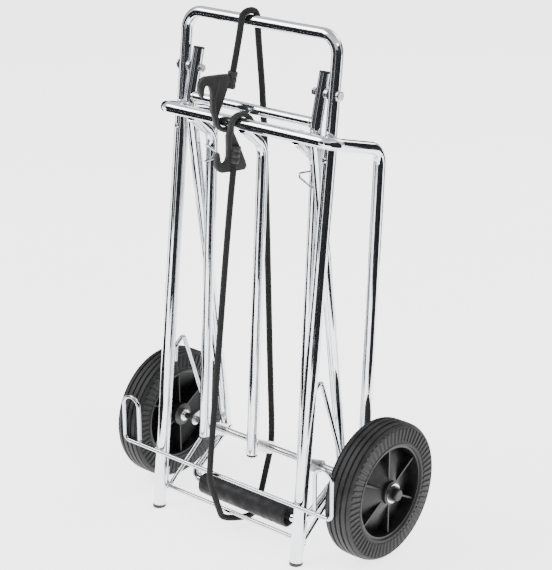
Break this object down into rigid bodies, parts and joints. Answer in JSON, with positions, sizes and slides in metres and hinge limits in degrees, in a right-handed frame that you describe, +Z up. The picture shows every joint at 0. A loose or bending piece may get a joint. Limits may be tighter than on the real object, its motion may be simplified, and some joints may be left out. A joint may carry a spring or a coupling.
{
  "type": "folding beach cart",
  "caption": "Folding chromed tube beach cart, folded up, with a drop-down deck, swing-up pull handle, rubber-tyred wheels and a bungee cord with moulded hooks.",
  "frame": {"origin": "on the floor, under the middle of the folded cart's box without its bungee", "axes": "+Z up, +X to the right along the axle, -Y the front, where the legs stand on the floor"},
  "size_m": [0.468, 0.2162, 0.7497],
  "materials": {
    "chrome_tube": "polished plate",
    "chrome_wire": "polished plate",
    "bright_steel": "zinc plated",
    "black_plastic": "satin moulded",
    "tyre_rubber": "matt",
    "rim_plastic": "satin moulded",
    "bush_plastic": "smooth moulded",
    "grip_rubber": "ribbed, matt",
    "woven_cord": "braided",
    "hook_plastic": "moulded, semi-gloss"
  },
  "bodies": {
    "frame": {"handle_hoop": "chrome_tube", "front_wire": "chrome_wire", "lower_wire": "chrome_wire", "axle": "bright_steel", "leg_left": "chrome_tube", "foot_plug_left": "black_plastic", "hoop_rivet_left": "bright_steel", "pivot_bolt_left": "bright_steel", "pivot_nut_left": "bright_steel", "pivot_spacer_left": "black_plastic", "axle_stay_left": "chrome_wire", "hub_washer_left": "bright_steel", "hub_cap_left": "black_plastic", "axle_collar_left": "bright_steel", "leg_right": "chrome_tube", "foot_plug_right": "black_plastic", "hoop_rivet_right": "bright_steel", "pivot_bolt_right": "bright_steel", "pivot_nut_right": "bright_steel", "pivot_spacer_right": "black_plastic", "axle_stay_right": "chrome_wire", "hub_washer_right": "bright_steel", "hub_cap_right": "black_plastic", "axle_collar_right": "bright_steel", "bungee_cord": "woven_cord", "bungee_hook_upper": "hook_plastic", "bungee_hook_lower": "hook_plastic"},
    "deck": {"deck_hoop": "chrome_tube", "deck_bar_left": "chrome_tube", "bar_plug_left": "black_plastic", "bar_lug_left": "bright_steel", "deck_bar_centre": "chrome_tube", "bar_plug_centre": "black_plastic", "bar_lug_centre": "bright_steel", "deck_bar_right": "chrome_tube", "bar_plug_right": "black_plastic", "bar_lug_right": "bright_steel", "rail_lug_left": "bright_steel", "wire_loop_left": "chrome_wire", "rail_lug_right": "bright_steel", "wire_loop_right": "chrome_wire"},
    "pull_handle": {"grip_bow": "chrome_tube", "hand_grip": "grip_rubber", "spreader_tube": "chrome_tube", "spreader_screw": "bright_steel", "pull_tube_left": "chrome_tube", "pull_cap_left": "black_plastic", "pull_tube_right": "chrome_tube", "pull_cap_right": "black_plastic"},
    "wheel_left": {"tyre_left": "tyre_rubber", "rim_left": "rim_plastic", "wheel_bush_left": "bush_plastic"},
    "wheel_right": {"tyre_right": "tyre_rubber", "rim_right": "rim_plastic", "wheel_bush_right": "bush_plastic"}
  },
  "joints": [
    {"name": "deck_fold", "type": "hinge", "parent": "frame", "child": "deck", "pos_m": [0, 0.0062, 0.1], "axis": [1, 0, 0], "range_deg": [0, 67], "deforming": ["bungee_cord", "bungee_hook_upper", "bungee_hook_lower"]},
    {"name": "handle_swing", "type": "hinge", "parent": "frame", "child": "pull_handle", "pos_m": [0, -0.01845, 0.656], "axis": [1, 0, 0], "range_deg": [0, 166], "deforming": ["bungee_cord", "bungee_hook_upper", "bungee_hook_lower"]},
    {"name": "wheel_left_spin", "type": "hinge", "parent": "frame", "child": "wheel_left", "pos_m": [-0.2, 0.0062, 0.1], "axis": [1, 0, 0], "continuous": true},
    {"name": "wheel_right_spin", "type": "hinge", "parent": "frame", "child": "wheel_right", "pos_m": [0.2, 0.0062, 0.1], "axis": [1, 0, 0], "continuous": true}
  ]
}
